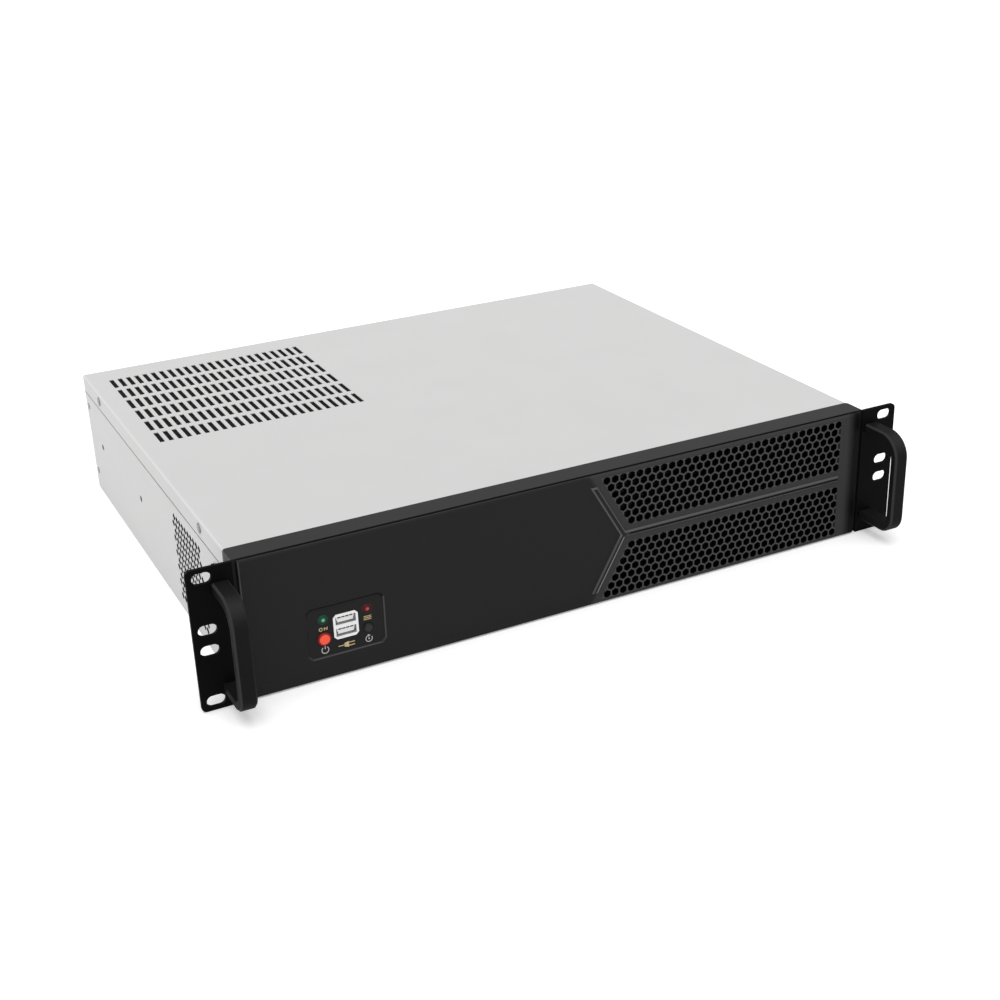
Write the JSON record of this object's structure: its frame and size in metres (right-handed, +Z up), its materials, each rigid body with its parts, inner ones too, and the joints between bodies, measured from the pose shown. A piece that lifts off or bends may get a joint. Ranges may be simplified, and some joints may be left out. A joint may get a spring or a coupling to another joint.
{
  "type": "rackmount server case",
  "caption": "Empty 2U rackmount server case: light grey folded steel body with a vented cover, black bezel with honeycomb grilles, rack ears, handles, buttons and ports.",
  "frame": {"origin": "centre of the rack slot pattern, in the plane of the rack ears' rear faces, halfway up the case", "axes": "+X to the right as seen from the front, +Y from the front into the rack, +Z up"},
  "size_m": [0.4826, 0.383, 0.088],
  "materials": {
    "body_paint": "light grey satin paint on folded steel",
    "zinc_steel": "zinc plated sheet",
    "bezel_plastic": "black moulded plastic, fine texture",
    "ear_paint": "black satin paint on steel",
    "handle_paint": "black satin paint on cast metal",
    "screw_steel": "zinc plated screws",
    "black_button": "black plastic",
    "red_button": "red plastic",
    "green_lens": "green tinted lens",
    "red_lens": "red tinted lens",
    "port_metal": "plated metal shell",
    "port_plastic": "white plastic",
    "circuit_board": "green circuit board",
    "brass": "turned brass"
  },
  "bodies": {
    "case": {"chassis_tray": "body_paint", "top_cover": "body_paint", "rear_panel": "body_paint", "front_plate": "ear_paint", "slot_cover_1": "zinc_steel", "slot_cover_2": "zinc_steel", "slot_cover_3": "zinc_steel", "slot_cover_4": "zinc_steel", "board_standoffs": "brass", "drive_cage": "ear_paint", "psu_support": "zinc_steel", "bezel_frame": "bezel_plastic", "fascia": "bezel_plastic", "power_lamp": "green_lens", "drive_lamp": "red_lens", "usb_shell": "port_metal", "usb_tongues": "port_plastic", "control_board": "circuit_board", "rack_ear_left": "ear_paint", "rack_ear_right": "ear_paint", "handle_left": "handle_paint", "handle_right": "handle_paint", "handle_screws": "screw_steel", "ear_screws": "screw_steel", "cover_screws": "screw_steel", "side_rivets": "screw_steel", "slot_screws": "screw_steel"},
    "power_button": {"power_button": "red_button"},
    "reset_button": {"reset_button": "black_button"}
  },
  "joints": [
    {"name": "power_button_press", "type": "slide", "parent": "case", "child": "power_button", "axis": [0, 1, 0], "range_m": [0, 0.0008], "stiffness_N_per_m": 1500, "springref_m": -0.0005},
    {"name": "reset_button_press", "type": "slide", "parent": "case", "child": "reset_button", "axis": [0, 1, 0], "range_m": [0, 0.0008], "stiffness_N_per_m": 1500, "springref_m": -0.0005}
  ]
}
